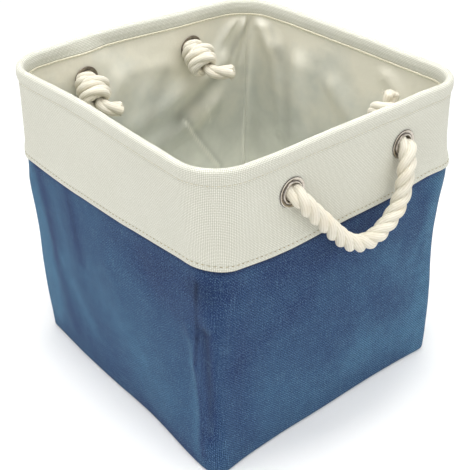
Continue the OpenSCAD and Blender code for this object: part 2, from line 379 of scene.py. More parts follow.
def frayed_end(name, line, seed):
    """Loose yarn ends round the cut end of a rope: thin tapering tubes, joined in one piece."""
    rng = np.random.default_rng(seed)
    along = headings(line)[-1]
    side, up = (f[-1] for f in carried_frames(line, np.array([0, 0.3, 1.0])))
    centre = line[-1]
    sides, rings = 5, 5
    corners = range(rings * sides)
    yarn_faces = grid(rings, sides) + [tuple(corners[:sides][::-1]), tuple(corners[-sides:])]
    round_yarn = np.arange(sides + 1) % sides / sides
    yarn_uvs = np.vstack([grid_uvs(round_yarn, np.arange(rings)[:, None] * MM), np.zeros((2 * sides, 2))])
    points, faces = [], []
    for _ in range(FRAY_YARNS):
        a = rng.uniform(0, 2 * math.pi)
        reach = KNOT_R * math.sqrt(rng.uniform(0.0, 1.0))
        root = centre + reach * (math.cos(a) * side + math.sin(a) * up) - along * 1.0 * MM
        way = unit(along + 0.45 * rng.normal(size=3) + 0.25 * (root - centre) / KNOT_R)
        bend = 0.5 * rng.normal(size=3)
        long, thick = rng.uniform(1.8, 4.6) * MM, rng.uniform(0.28, 0.5) * MM
        faces += [tuple(len(points) + i for i in face) for face in yarn_faces]
        spot = root
        u = unit(np.cross(way, (0.3, 0.5, 0.8)))
        v = np.cross(way, u)
        for j in range(rings):
            r = thick * (1 - 0.75 * j / (rings - 1))
            for k in range(sides):
                b = 2 * math.pi * k / sides
                points.append(spot + r * (math.cos(b) * u + math.sin(b) * v))
            way = unit(way + bend * 0.22)
            spot = spot + way * long / (rings - 1)
    piece = cloth_mesh(name, points, faces, np.tile(yarn_uvs, (FRAY_YARNS, 1)))
    shade(piece)
    return piece


SIDES = ((1, "right"), (-1, "left"))
loops = {word: make_loop(side, f"rope_{word}") for side, word in SIDES}
knots = {name: make_knot(name.replace("knot", "knotted_end"), *how) for name, how in KNOTS.items()}
frays = {name: frayed_end(name.replace("knot", "fray"), line, 7 + i)
         for i, (name, (_, line)) in enumerate(knots.items())}

# ---- the walls' shape
WALL_OUT = np.array([(-1, 0), (0, -1), (1, 0), (0, 1)], float)
WALL_ALONG = np.array([(0, -1), (1, 0), (0, 1), (-1, 0)], float)
LEFT, FRONT, RIGHT, BACK = range(4)
RIM_CORNER = 40 * MM
FOOT_CORNER = 11 * MM
WALL_RUN = TOP_W - 2 * RIM_CORNER + math.pi / 2 * RIM_CORNER
LINING_FACE = 5.5 * MM

# ---- wear, painted highlight and painted shade on the pieces
# Light, worn streaks and darker ones in the blue cloth, with painted highlight and painted shade at the
# corners and
# along folds, in millimetres: wall, from (x or y, up), to (x or y, up), width, strength. 0 is the darkest blue
# and 1 is nearly bare.
BLUE_USUAL = 0.3
WEAR_LIGHT_AND_SHADE_MM = [
    (FRONT, (-145, 205), (-125, 40), 19, 1.0),
    (FRONT, (-115, 205), (-105, 110), 8, -0.42),
    (FRONT, (-90, 190), (-80, 120), 9, 0.22),
    (FRONT, (-60, 200), (-50, 130), 8, -0.38),
    (FRONT, (-90, 110), (-45, 50), 12, 0.42),
    (FRONT, (-105, 100), (-80, 30), 9, -0.2),
    (FRONT, (-30, 120), (70, 40), 28, 0.3),
    (FRONT, (10, 195), (100, 160), 20, -0.22),
    (FRONT, (115, 130), (115, 105), 5, 0.28),
    (FRONT, (115, 105), (125, 15), 6, 0.42),
    (FRONT, (130, 200), (125, 140), 2.4, -0.3),
    (FRONT, (125, 140), (120, 110), 2.4, -0.4),
    (FRONT, (120, 110), (135, 15), 2.4, -0.35),
    (FRONT, (135, 150), (140, 40), 8, -0.35),
    (FRONT, (30, 5), (120, 5), 8, -0.3),
    (FRONT, (60, 200), (150, 190), 18, -0.25),
    (RIGHT, (-145, 205), (-145, 20), 10, -0.15),
    (RIGHT, (-120, 150), (-110, 20), 18, -0.22),
    (RIGHT, (-80, 195), (50, 190), 24, -0.3),
    (RIGHT, (-70, 60), (-10, 30), 22, 0.14),
    (RIGHT, (20, 150), (45, 60), 12, 0.16),
    (RIGHT, (60, 150), (100, 110), 22, 0.4),
    (RIGHT, (40, 45), (110, 40), 28, 0.5),
    (RIGHT, (110, 190), (120, 120), 8, -0.25),
    (RIGHT, (140, 195), (105, 130), 7, 0.3),
    (RIGHT, (-120, 110), (-40, 150), 12, -0.16),
    (RIGHT, (140, 205), (135, 15), 22, 0.95),
    (LEFT, (120, 200), (130, 20), 24, 0.5),
    (LEFT, (-60, 150), (-40, 30), 26, 0.35),
    (LEFT, (-130, 200), (-135, 30), 18, 0.5),
    (BACK, (-120, 200), (-125, 30), 22, 0.5),
    (BACK, (50, 160), (80, 30), 28, 0.35),
]

# Painted highlights along the lining's folds and painted shadows in its hollows, the same way; 0 is its usual
# shade
FOLD_LIGHT_AND_SHADE_MM = [
    (LEFT, (50, 185), (100, 110), 1.5, 0.9),
    (LEFT, (55, 185), (105, 110), 3.5, -0.3),
    (LEFT, (80, 195), (90, 170), 1.6, 0.45),
    (LEFT, (100, 225), (45, 190), 8, -0.45),
    (LEFT, (45, 190), (0, 150), 9, -0.36),
    (LEFT, (110, 210), (60, 170), 6, 0.3),
    (LEFT, (30, 245), (5, 200), 8, -0.3),
    (LEFT, (10, 250), (-15, 205), 7, 0.22),
    (LEFT, (130, 285), (105, 250), 4, 0.5),
    (LEFT, (135, 285), (120, 245), 3, -0.35),
    (LEFT, (140, 290), (130, 230), 2.5, 0.35),
    (LEFT, (140, 270), (135, 20), 1.8, 0.35),
    (BACK, (-120, 285), (-105, 255), 5, 0.4),
    (BACK, (-105, 280), (-90, 250), 5, -0.3),
    (BACK, (-85, 260), (-70, 170), 9, -0.28),
    (BACK, (-60, 260), (-45, 180), 8, 0.22),
]


def paint(piece, name, values):
    layer = piece.data.attributes.new(name, "FLOAT", "POINT")
    layer.data.foreach_set("value", np.asarray(values, np.float32))


def vertex_places(piece):
    return np.array([v.co for v in piece.data.vertices], float)


def marked(places, table, usual):
    """How light the cloth is at each place: its usual shade, with a table's streaks over it."""
    total = np.full(len(places), usual)
    for wall, start, end, width, strength in table:
        here = places[:, [1, 2]] if wall in (LEFT, RIGHT) else places[:, [0, 2]]
        on_wall = smoothstep(places[:, :2] @ WALL_OUT[wall], 105 * MM, 130 * MM)
        a, b = np.array(start) * MM, np.array(end) * MM
        t = np.clip((here - a) @ (b - a) / ((b - a) @ (b - a)), 0, 1)
        apart = np.linalg.norm(here - a - t[:, None] * (b - a), axis=1) / (width * MM)
        total += strength * on_wall * np.exp(-apart ** 2)
    return np.clip(total, -1, 1)


# ---- how the made-up bin stands
# Where the made-up bin stands in or out of its pattern, in millimetres: place, reach, how far out
BULGES_MM = [
    ((-153, -34, 300), (60, 62, 34), 7.5),
    ((-25, -153, 303), (70, 60, 34), -4.0),
    ((0, 153, 303), (90, 60, 40), 1.0),
    ((-150, 150, 303), (44, 44, 34), -8.0),
    ((153, -80, 308), (60, 34, 26), 2.0),
    ((153, 98, 308), (60, 34, 26), -2.0),
    ((-150, -145, 0), (60, 60, 80), -5.0),
    ((-150, -148, 125), (55, 55, 52), -5.0),
    ((128, -145, 0), (62, 30, 48), 7.5),
    ((147, -100, 0), (40, 34, 40), 2.2),
    ((147, -20, 0), (60, 50, 60), 1.2),
    ((142, 145, 0), (34, 34, 50), 2.0),
    ((150, 150, 212), (30, 30, 24), 4.0),
    ((150, 150, 130), (50, 50, 50), -6.0),
    ((-20, -148, 110), (90, 50, 80), 2.2),
    ((110, -146, 84), (22, 40, 50), -2.4),
    ((150, 20, 110), (50, 90, 70), 2.0),
    ((-152, 0, 120), (60, 100, 90), 3.0),
    ((0, 150, 120), (100, 60, 90), 3.0),
]

# Soft ridges in the blue cloth, in millimetres: wall, from (along, up), to (along, up), width, height
CLOTH_RIDGES_MM = [
    (FRONT, (-135, 185), (-120, 40), 9, 1.3),
    (FRONT, (-100, 130), (-85, 10), 12, 1.0),
    (FRONT, (-60, 205), (-60, 90), 11, 0.8),
    (FRONT, (0, 150), (30, 20), 16, 0.8),
    (FRONT, (115, 145), (120, 105), 5, 1.6),
    (FRONT, (120, 105), (130, 30), 5, 1.6),
    (FRONT, (135, 150), (140, 40), 8, -2.4),
    (FRONT, (40, 190), (110, 120), 15, -1.0),
    (RIGHT, (-115, 175), (-130, 60), 10, 0.9),
    (RIGHT, (120, 190), (130, 40), 11, 1.1),
    (RIGHT, (60, 190), (80, 60), 14, 0.7),
    (RIGHT, (-40, 120), (-20, 30), 16, -0.7),
    (LEFT, (-110, 190), (-120, 30), 11, 1.2),
    (LEFT, (60, 180), (40, 50), 14, 0.9),
    (BACK, (-120, 200), (-130, 30), 11, 1.2),
    (BACK, (70, 190), (95, 60), 14, 0.9),
]

# Folds in the lining, the same way, which stand into the bin, and how much the slack cloth deepens them
LINING_SLACK = 1.55
LINING_RIDGES_MM = [
    (LEFT, (-130, 290), (-95, 250), 6, 4.0),
    (LEFT, (-140, 290), (-125, 230), 5, 3.2),
    (LEFT, (-105, 240), (0, 195), 13, 5.0),
    (LEFT, (-90, 195), (15, 150), 15, 4.5),
    (LEFT, (-50, 180), (-100, 110), 2.4, 1.6),
    (LEFT, (-75, 195), (-90, 165), 3.0, 1.0),
    (LEFT, (30, 250), (70, 190), 14, 3.0),
    (LEFT, (-60, 250), (20, 260), 9, 1.6),
    (BACK, (120, 285), (110, 260), 12, 4.5),
    (BACK, (100, 260), (85, 170), 11, 3.0),
    (BACK, (60, 250), (75, 120), 14, 3.5),
    (BACK, (10, 240), (-30, 205), 13, 2.4),
    (BACK, (-60, 275), (-110, 240), 10, 2.0),
    (FRONT, (-110, 270), (-70, 200), 12, 3.0),
    (FRONT, (110, 270), (80, 190), 12, 3.0),
    (RIGHT, (-110, 270), (-85, 190), 12, 3.0),
    (RIGHT, (110, 270), (90, 190), 12, 3.0),
    (RIGHT, (-20, 170), (30, 90), 14, 3.0),
]


def half_sizes(wall, z):
    """From the middle of the bin out to a wall, and half of that wall's length, corners left square."""
    rise = np.clip(z / BIN_H, 0, 1)
    half_w = (BASE_W + (TOP_W - BASE_W) * rise) / 2
    half_d = (BASE_D + (TOP_D - BASE_D) * rise) / 2
    handle_wall = (wall == LEFT) | (wall == RIGHT)
    return np.where(handle_wall, half_w, half_d), np.where(handle_wall, half_d, half_w)


def corner_radius(z):
    return FOOT_CORNER + (RIM_CORNER - FOOT_CORNER) * smoothstep(z, 105 * MM, 300 * MM)


def half_run(wall, z):
    """Half of a wall's length along the cloth, up to the middle of each corner."""
    r = corner_radius(z)
    return half_sizes(wall, z)[1] - r + math.pi / 4 * r


def clear_of_eyelets(points):
    """0 at an eyelet, 1 well away from it."""
    far = np.hypot(np.abs(points[:, 1]) - EYELET_Y, points[:, 2] - EYELET_Z)
    on_side = smoothstep(np.abs(points[:, 0]), HANDLE_WALL_FROM, 140 * MM)
    return 1 - on_side * (1 - smoothstep(far, 15 * MM, 42 * MM))


def give(points):
    """How far out the walls stand from their pattern at each point."""
    out = 0.9 * wander(points, 9, 1) + 0.35 * wander(points, 26, 2)
    for place, reach, height in BULGES_MM:
        apart = (points / MM - place) / reach
        out = out + height * np.exp(-np.sum(apart ** 2, axis=1))
    return out * MM * clear_of_eyelets(points)


def bare_wall(wall, s, z):
    """Pattern points and outward directions: s runs along the wall from its middle."""
    reach, half = half_sizes(wall, z)
    r = corner_radius(z)
    straight = half - r
    turn = np.clip((np.abs(s) - straight) / r, 0, None) * np.sign(s)
    along = np.clip(s, -straight, straight)
    normal = WALL_OUT[wall] * np.cos(turn)[:, None] + WALL_ALONG[wall] * np.sin(turn)[:, None]
    flat = WALL_OUT[wall] * (reach - r)[:, None] + WALL_ALONG[wall] * along[:, None] + normal * r[:, None]
    return np.column_stack([flat, z]), normal


def skin(wall, s, z, out):
    """Points on the made-up wall; out stands off the canvas band's outer face."""
    points, normal = bare_wall(wall, s, z)
    stand = out + give(points)
    points[:, :2] += normal * stand[:, None]
    return points


def ridges(table, wall, s, z):
    """Height of a table's ridges at places on the walls."""
    total = np.zeros(len(s))
    for on, start, end, width, height in table:
        a, b = np.array(start) * MM, np.array(end) * MM
        along = b - a
        here = np.column_stack([s, z]) - a
        t = np.clip(here @ along / (along @ along), 0, 1)
        apart = np.linalg.norm(here - t[:, None] * along, axis=1) / (width * MM)
        weight = 1 - 0.6 * t
        total += (wall == on) * height * MM * weight * np.exp(-apart ** 2)
    return total


def stations(step, fine=()):
    """Places round the bin: the wall, and the share of its half length, from -1 to 1.

    fine adds places at these millimetres from the lining's seam, on both sides of it.
    """
    count = round(WALL_RUN / step)
    share = np.linspace(-1, 1, count + 1)[:-1]
    wall = np.repeat(np.arange(4), count)
    share = np.tile(share, 4)
    if fine:
        near = np.array(fine) * MM / (WALL_RUN / 2)
        wall = np.concatenate([wall, np.full(len(near), LEFT), np.full(len(near), BACK)])
        share = np.concatenate([share, -1 + near, 1 - near])
        order = np.lexsort((share, wall))
        wall, share = wall[order], share[order]
    return wall, share


def ring_sheet(name, profile, places, shift=None, closed=False):
    """A sheet right round the bin from a profile of (out, up) points in millimetres.

    shift(wall, s, z) gives what to add to out and up, in metres.
    """
    wall, share = places
    n = len(wall)
    rows = []
    for out, up in profile:
        z = np.full(n, up * MM)
        s = share * half_run(wall, z)
        out_shift, up_shift = shift(wall, s, z) if shift else (0.0, 0.0)
        rows.append(skin(wall, s, z + up_shift, out * MM + out_shift))
    points = np.vstack(rows)
    u = (wall + (share + 1) / 2) * WALL_RUN
    u = np.append(u, 4 * WALL_RUN)
    flat = np.array(profile, float) * MM
    v = run_length(np.vstack([flat, flat[:1]]) if closed else flat)
    return cloth_mesh(name, points, grid(len(profile), n, closed=closed), grid_uvs(u, v[:, None]))


def open_eyelet_holes(piece, radius):
    """Opens the four round holes that the eyelets pass through."""
    sheet = bmesh.new()
    sheet.from_mesh(piece.data)
    for y in (-EYELET_Y, EYELET_Y):
        gone = [f for f in sheet.faces
                if abs(f.calc_center_median().x) > HANDLE_WALL_FROM
                and math.hypot(f.calc_center_median().y - y, f.calc_center_median().z - EYELET_Z) < radius]
        edge = {v for f in gone for v in f.verts}
        bmesh.ops.delete(sheet, geom=gone, context="FACES")
        for v in edge:
            if v.is_valid:
                far = math.hypot(v.co.y - y, v.co.z - EYELET_Z)
                v.co.y = y + (v.co.y - y) * radius / far
                v.co.z = EYELET_Z + (v.co.z - EYELET_Z) * radius / far
    sheet.to_mesh(piece.data)
    sheet.free()


def thicken(piece, thickness):
    apply_modifier(piece, "SOLIDIFY", thickness=thickness, offset=-1, use_even_offset=False)
    shade(piece)


def levels(low, high, step):
    """Evenly spaced heights from low up to high, both left out."""
    count = max(1, round(abs(high - low) / step))
    return [low + (high - low) * i / count for i in range(1, count)]


def arc(out, up, radius, start, end, steps):
    """Points of a circle in (out, up), from one angle to another; 0 degrees points out and 90 up."""
    angles = [math.radians(start + (end - start) * i / steps) for i in range(steps + 1)]
    return [(out + radius * math.cos(a), up + radius * math.sin(a)) for a in angles]


# ---- canvas band
EDGE_MM = BAND_EDGE / MM
RIM_MM = BIN_H / MM
HEM_R_MM = WIRE_IN / MM
STITCH_UP_MM = EDGE_MM + 5.2
GROOVE_UP_MM = RIM_MM - 14


# Where the band's lower edge lifts or dips, in millimetres: place, reach, height
EDGE_LIFTS_MM = [
    ((-60, -153), 70, -2.4),
    ((110, -150), 46, 3.2),
    ((140, -150), 30, 2.0),
    ((153, -70), 44, -3.0),
    ((150, 120), 44, 6.0),
]


def band_shift(wall, s, z):
    """The band's lower edge dips a little along the walls and lifts at the right-hand corners."""
    points, _ = bare_wall(wall, s, z)
    low = 1 - smoothstep(z, BAND_EDGE + 2 * MM, BAND_EDGE + 34 * MM)
    lift = 0
    for place, reach, height in EDGE_LIFTS_MM:
        apart = (points[:, :2] / MM - place) / reach
        lift = lift + height * np.exp(-np.sum(apart ** 2, axis=1))
    up = low * MM * (lift + 0.5 * wander(points, 22, 8))
    top = smoothstep(z, 286 * MM, 296 * MM)
    out = 0.35 * MM * wander(points, 45, 9) * (low + top)
    return out, up + top * 0.5 * MM * wander(points, 10, 10)


def make_band():
    """The canvas, from its turned-in lower edge up the outside, over the wire and down the inside."""
    e, g, t = EDGE_MM, GROOVE_UP_MM, RIM_MM
    fold = arc(-0.05, e + 1.15, 1.1, -180, 0, 6)
    profile = [(-1.15, e + 9.5), (-1.15, e + 6), (-1.15, e + 3)] + fold
    profile += [(1.1, e + 2.4), (1.0, e + 4.0), (0.62, e + 5.2), (0.95, e + 6.4), (1.0, e + 8.4),
                (0.8, e + 10.6), (0.35, e + 13.5), (0.05, e + 17)]
    profile += [(0, up) for up in levels(e + 17, g - 3.4, 3.6)]
    profile += [(0.0, g - 3.4), (-0.05, g - 1.6), (-0.75, g), (0.15, g + 1.3), (0.75, g + 3.2),
                (1.05, g + 5.6), (1.0, g + 8.2)]
    profile += arc(0.7 - HEM_R_MM, t - HEM_R_MM, HEM_R_MM, 0, 180, 14)
    inner = 0.4 - 2 * HEM_R_MM
    profile += [(inner - 0.2, g + 7.6), (inner - 0.1, g + 5.4), (inner + 0.2, g + 3.6),
                (inner + 0.3, g + 2), (inner + 0.4, g)]
    band = ring_sheet("canvas_band", profile, stations(3.2 * MM), band_shift)
    open_eyelet_holes(band, HOLE_R)
    thicken(band, 1.05 * MM)
    return band


# ---- blue wall and its base
def cloth_shift(wall, s, z):
    """The blue cloth's ridges, which die away at the foot and under the band."""
    points, _ = bare_wall(wall, s, z)
    low = 1 - smoothstep(z, 195 * MM, 212 * MM)
    foot = smoothstep(z, 0, 14 * MM)
    return low * foot * (ridges(CLOTH_RIDGES_MM, wall, s, z) + 0.25 * MM * wander(points, 48, 4)), 0.0


def make_outer_wall():
    """The blue cloth, from the foot to behind the band, with worn places, painted highlight and painted shade,
    and a painted shadow under the band's edge.
    """
    foot = [(-5.5, 0.25), (-3.6, 0.2), (-2.3, 0.7), (-1.6, 1.7), (-1.3, 3.2)]
    profile = foot + [(-1.3, up) for up in levels(3.2, EDGE_MM + 11.5, 2.8)] + [(-1.3, EDGE_MM + 11.5)]
    places = stations(2.2 * MM)
    wall = ring_sheet("blue_wall", profile, places, cloth_shift)
    on, share = places
    edge = np.full(len(on), BAND_EDGE)
    edge = edge + band_shift(on, share * half_run(on, edge), edge)[1]
    here = vertex_places(wall)
    # Painted shadow: the cloth is painted darker in a thin line just under the band's lower edge.
    under = (np.tile(edge, len(profile)) - here[:, 2]) / (3.2 * MM)
    paint(wall, "wear_light_and_shade", marked(here, WEAR_LIGHT_AND_SHADE_MM, BLUE_USUAL) - 0.7 * np.exp(-under ** 2))
    thicken(wall, 1.1 * MM)
    return wall


def floor_cloth(name, out, up, thickness, upward, ripple):
    """A flat sheet with the bin's own outline, facing up or down."""
    wall, share = stations(6.4 * MM)
    z = np.full(len(wall), up)
    edge = skin(wall, share * half_run(wall, z), z, np.full(len(wall), out))
    rings = [1.0, 0.985, 0.95, 0.88, 0.78, 0.64, 0.48, 0.32, 0.16, 0.06]
    n = len(wall)
    points = np.vstack([edge * [k, k, 1] for k in rings] + [[(0, 0, up)]])
    from_edge = 1 - np.append(np.repeat(rings, n), 0)
    points[:, 2] += ripple * wander(points, 16, 12) * smoothstep(from_edge, 0, 0.12)
    faces = grid(len(rings), n)
    last = (len(rings) - 1) * n
    faces += [(last + i, last + (i + 1) % n, len(points) - 1) for i in range(n)]
    if not upward:
        faces = [tuple(reversed(f)) for f in faces]
    uvs = [points[i, :2] for f in faces for i in f]
    piece = cloth_mesh(name, points, faces, uvs)
    thicken(piece, thickness)
    return piece


# ---- lining
def lining_shift(wall, s, z):
    """Loose cloth: it stands into the bin in folds, and never out into the boards."""
    points, _ = bare_wall(wall, s, z)
    free = smoothstep(z, 5 * MM, 40 * MM) * (1 - smoothstep(z, 278 * MM, 289 * MM))
    loose = LINING_SLACK * ridges(LINING_RIDGES_MM, wall, s, z)
    loose = loose + 1.1 * MM * np.abs(wander(points, 13, 5)) + 0.5 * MM * np.abs(wander(points, 34, 6))
    loose = loose * clear_of_eyelets(points) * free
    from_seam = (half_run(wall, z) - np.abs(s)) / MM
    at_seam = np.where(((wall == LEFT) & (s < 0)) | ((wall == BACK) & (s > 0)), 1.0, 0.0)
    seam_free = smoothstep(z, 8 * MM, 20 * MM) * (1 - smoothstep(z, 284 * MM, 289 * MM))
    left_ridge = 1.5 * np.exp(-((from_seam - 3.2) / 2.2) ** 2)
    back_ridge = 0.5 * np.exp(-((from_seam - 4) / 2.5) ** 2)
    ridge = np.where(wall == LEFT, left_ridge, back_ridge)
    groove = -0.6 * np.exp(-(from_seam / 0.8) ** 2)
    seam = at_seam * seam_free * MM * (ridge + groove)
    return -(loose + seam), 0.0


def make_lining():
    """The lining, from a small welt under the facing down to its turn-in on the base."""
    g = GROOVE_UP_MM
    face = -LINING_FACE / MM
    profile = [(face - 1.0, g - 1.2), (face - 1.1, g + 0.1), (face - 1.4, g + 0.3), (face - 1.75, g + 0.1),
               (face - 1.85, g - 0.4), (face - 1.6, g - 0.9), (face - 1.1, g - 1.2), (face - 0.7, g - 1.9),
               (face - 0.4, g - 3.4), (face - 0.3, g - 6)]
    profile += [(face, up) for up in levels(g - 6, 12, 3.0)]
    profile += [(face, 12), (face - 0.2, 9), (face - 0.8, 7), (face - 2.4, 5.9), (face - 4.5, 5.7)]
    places = stations(2.8 * MM, fine=(0.5, 1.0, 1.6, 2.3, 4.6, 6.0))
    lining = ring_sheet("lining_cloth", profile, places, lining_shift)
    open_eyelet_holes(lining, HOLE_R)
    thicken(lining, 0.6 * MM)
    return lining


# ---- boards and wire inside the walls
BOARD_TOP = 295.4 * MM


def make_board(name, wall):
    """A flat board between two corners; it bows with its wall."""
    across = np.linspace(-1, 1, 61)
    heights = np.linspace(BASE_TOP + 0.2 * MM, BOARD_TOP, 61)
    points = []
    for z in heights:
        zs = np.full(len(across), z)
        walls = np.full(len(across), wall)
        half = half_sizes(walls, zs)[1] - (12 + 28 * z / BIN_H) * MM
        points.append(skin(walls, across * half, zs, np.full(len(across), -BOARD_IN)))
    faces = grid(len(heights), len(across), wrap=False)
    flat = np.array([(x * TOP_W / 2, z) for z in heights for x in across])
    piece = cloth_mesh(name, np.vstack(points), faces, [flat[i] for f in faces for i in f])
    if wall in (LEFT, RIGHT):
        open_eyelet_holes(piece, HOLE_R)
    apply_modifier(piece, "SOLIDIFY", thickness=2.0 * MM, offset=-1)
    shade(piece, 40)
    return piece


def make_wire():
    section = arc(-HEM_R_MM, WIRE_Z / MM, 1.6, 0, 330, 11)
    wire = ring_sheet("rim_wire_bowed", section, stations(4 * MM), closed=True)
    shade(wire)
    return wire


canvas_band = make_band()
blue_wall = make_outer_wall()
blue_base = floor_cloth("blue_base", -5.4 * MM, 0.25 * MM, 1.0 * MM, False, 0.0)
lining_cloth = make_lining()
lining_floor = floor_cloth("lining_floor", -LINING_FACE, BASE_TOP + 1.1 * MM, 0.6 * MM, True, 0.5 * MM)
boards = {f"board_{word}": make_board(f"stiff_board_{word}", wall)
          for wall, word in enumerate(("left", "front", "right", "back"))}
boards["base_board"] = floor_cloth("stiff_board_base", -BOARD_IN - 0.3 * MM, BASE_TOP, 2.8 * MM, True, 0.0)
rim_wire = make_wire()


# ---- turned metal pieces
def turned(name, profile_mm, sides):
    """A ring turned about Z: the section's (radius, height) points, each drawn out of the last."""
    deselect()
    radius, height = (k * MM for k in profile_mm[0])
    bpy.ops.mesh.primitive_circle_add(vertices=sides, radius=radius, location=(0, 0, height),
                                      fill_type="NOTHING")
    piece = bpy.context.object
    piece.name = name
    bpy.ops.object.transform_apply(location=True)
    bpy.ops.object.mode_set(mode="EDIT")
    bpy.ops.mesh.select_all(action="SELECT")
    points = profile_mm + profile_mm[:1]
    for (r0, h0), (r1, h1) in zip(points, points[1:]):
        bpy.ops.mesh.extrude_region_move(TRANSFORM_OT_translate={"value": (0, 0, (h1 - h0) * MM)})
        bpy.ops.transform.resize(value=(r1 / r0, r1 / r0, 1), center_override=(0, 0, h1 * MM))
    bpy.ops.mesh.select_all(action="SELECT")
    bpy.ops.mesh.remove_doubles(threshold=1e-6)
    bpy.ops.mesh.normals_make_consistent(inside=False)
    bpy.ops.object.mode_set(mode="OBJECT")
    shade(piece)
    return piece


def placed_copy(source, name, place):
    """A copy with its own mesh, put in place in the mesh itself."""
    piece = source.copy()
    piece.data = source.data.copy()
    piece.name = name
    bpy.context.scene.collection.objects.link(piece)
    piece.data.transform(place)
    return piece


def on_handle_wall(side, end, x):
    """Local Z points out of the bin through an eyelet's middle; local zero is at x."""
    turn = Matrix.Rotation(side * math.pi / 2, 4, "Y")
    return Matrix.Translation((side * x, end * EYELET_Y, EYELET_Z)) @ turn


def eyelet_profile():
    """Section from the curl inside, up the bore, over the rolled lip, across the dished flange and back."""
    curl = (CURL_X - FLANGE_X) / MM
    lip = arc(9.25, -0.25, 0.85, 180, 20, 6)
    bore = [(10.3, curl + 0.05), (9.3, curl), (8.6, curl + 0.15), (8.4, curl + 0.7), (8.4, -3.0)]
    flange = [(10.25, -0.6), (10.6, -0.75), (11.1, -0.7), (11.7, -0.45), (12.4, -0.22), (13.0, -0.2),
              (13.35, -0.38), (13.6, -0.75), (13.5, -1.15)]
    back = [(12.6, -1.2), (9.3, -1.25), (9.2, curl + 0.9), (9.6, curl + 0.82), (10.4, curl + 0.75),
            (10.5, curl + 0.4)]
    return bore + lip + flange + back


WASHER_MM = [(9.3, -0.45), (9.6, -0.5), (12.9, -0.5), (13.4, -0.35), (13.6, 0.0), (13.5, 0.3), (13.1, 0.45),
             (12.2, 0.42), (11.2, 0.3), (9.6, 0.32), (9.35, 0.2)]

eyelet_source = turned("eyelet_source", eyelet_profile(), 72)
washer_source = turned("washer_source", WASHER_MM, 72)
eyelets, washers = {}, {}
washer_low, washer_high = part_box("washer_right_back")
washer_x = (washer_low.x + washer_high.x) / 2
for side, wall_word in SIDES:
    for end, end_word in ((-1, "front"), (1, "back")):
        spot = f"{wall_word}_{end_word}"
        on_face = on_handle_wall(side, end, FLANGE_X)
        inside = on_handle_wall(side, end, washer_x)
        eyelets[spot] = placed_copy(eyelet_source, f"rolled_eyelet_{spot}", on_face)
        washers[spot] = placed_copy(washer_source, f"rolled_washer_{spot}", inside)
for source in (eyelet_source, washer_source):
    bpy.data.objects.remove(source)


def make_ferrule():
    """The sleeve on the wire's joint, with two crimped waists."""
    low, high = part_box("rim_ferrule")
    half = (high.x - low.x) / 2 / MM
    outer = [(2.2, -half), (2.5, -half + 0.5), (2.5, -9), (2.1, -8), (2.1, -5.5), (2.5, -4.5),
             (2.5, 4.5), (2.1, 5.5), (2.1, 8), (2.5, 9), (2.5, half - 0.5), (2.2, half)]
    sleeve = turned("crimped_sleeve", outer + [(1.7, half), (1.7, -half)], 24)
    back = np.array([BACK])
    at = skin(back, np.array([0.0]), np.array([WIRE_Z]), np.array([-WIRE_IN]))[0]
    sleeve.data.transform(Matrix.Translation(at) @ Matrix.Rotation(math.pi / 2, 4, "Y"))
    return sleeve


ferrule = make_ferrule()


# ---- stitching
def stitch_source(length_mm, thick_mm):
    """One stitch lying along X: a short thread whose ends dive into the cloth."""
    deselect()
    bpy.ops.mesh.primitive_cylinder_add(vertices=6, radius=thick_mm * MM / 2, depth=length_mm * MM,
                                        rotation=(0, math.pi / 2, 0))
    piece = bpy.context.object
    bpy.ops.object.transform_apply(rotation=True)
    bpy.ops.object.mode_set(mode="EDIT")
    for cut in (-0.28, 0.0, 0.28):
        bpy.ops.mesh.select_all(action="SELECT")
        bpy.ops.mesh.bisect(plane_co=(cut * length_mm * MM, 0, 0), plane_no=(1, 0, 0))
    bpy.ops.object.mode_set(mode="OBJECT")
    half = length_mm * MM / 2
    for v in piece.data.vertices:
        t = abs(v.co.x) / half
        v.co.y *= 1 - 0.45 * t ** 2
        v.co.z = v.co.z * (1 - 0.45 * t ** 2) - 0.55 * thick_mm * MM * t ** 2
    shade(piece)
    return piece


def stitch_row(name, source, out_mm, up_mm, pitch_mm, face, shift=None):
    """Stitches right round the bin; face is 1 on the outside and -1 inside."""
    count = round(WALL_RUN / (pitch_mm * MM))
    wall = np.repeat(np.arange(4), count)
    share = np.tile(np.linspace(-1, 1, count, endpoint=False) + 1 / count, 4)
    z = np.full(len(wall), up_mm * MM)
    s = share * half_run(wall, z)
    out_shift, up_shift = shift(wall, s, z) if shift else (0.0, 0.0)
    here = skin(wall, s, z + up_shift, out_mm * MM + out_shift)
    ahead = skin(wall, s + 0.5 * MM, z + up_shift, out_mm * MM + out_shift)
    rest = np.array([v.co for v in source.data.vertices])
    shape = [tuple(p.vertices) for p in source.data.polygons]
    points, faces = [], []
    for k, (a, b) in enumerate(zip(here, ahead)):
        along = unit(b - a)
        out = unit(np.cross(along, (0, 0, 1)) * face)
        up = np.cross(out, along)
        spot = rest @ np.array([along, up, out])
        points.append(a + spot)
        faces += [tuple(i + k * len(rest) for i in f) for f in shape]
    piece = cloth_mesh(name, np.vstack(points), faces, [(0, 0)] * sum(len(f) for f in faces))
    choose(piece)
    bpy.ops.object.mode_set(mode="EDIT")
    bpy.ops.mesh.select_all(action="SELECT")
    bpy.ops.mesh.normals_make_consistent(inside=False)
    bpy.ops.object.mode_set(mode="OBJECT")
    shade(piece)
    return piece


thread_source = stitch_source(3.0, 0.75)
hem_stitches = stitch_row("hem_stitches", thread_source, -0.5, GROOVE_UP_MM, 4.3, 1, band_shift)
edge_stitches = stitch_row("edge_stitches", thread_source, 0.9, STITCH_UP_MM, 4.9, 1, band_shift)
facing_stitches = stitch_row("facing_stitches", thread_source, -8.45, GROOVE_UP_MM - 0.4, 4.3, -1)
bpy.data.objects.remove(thread_source)
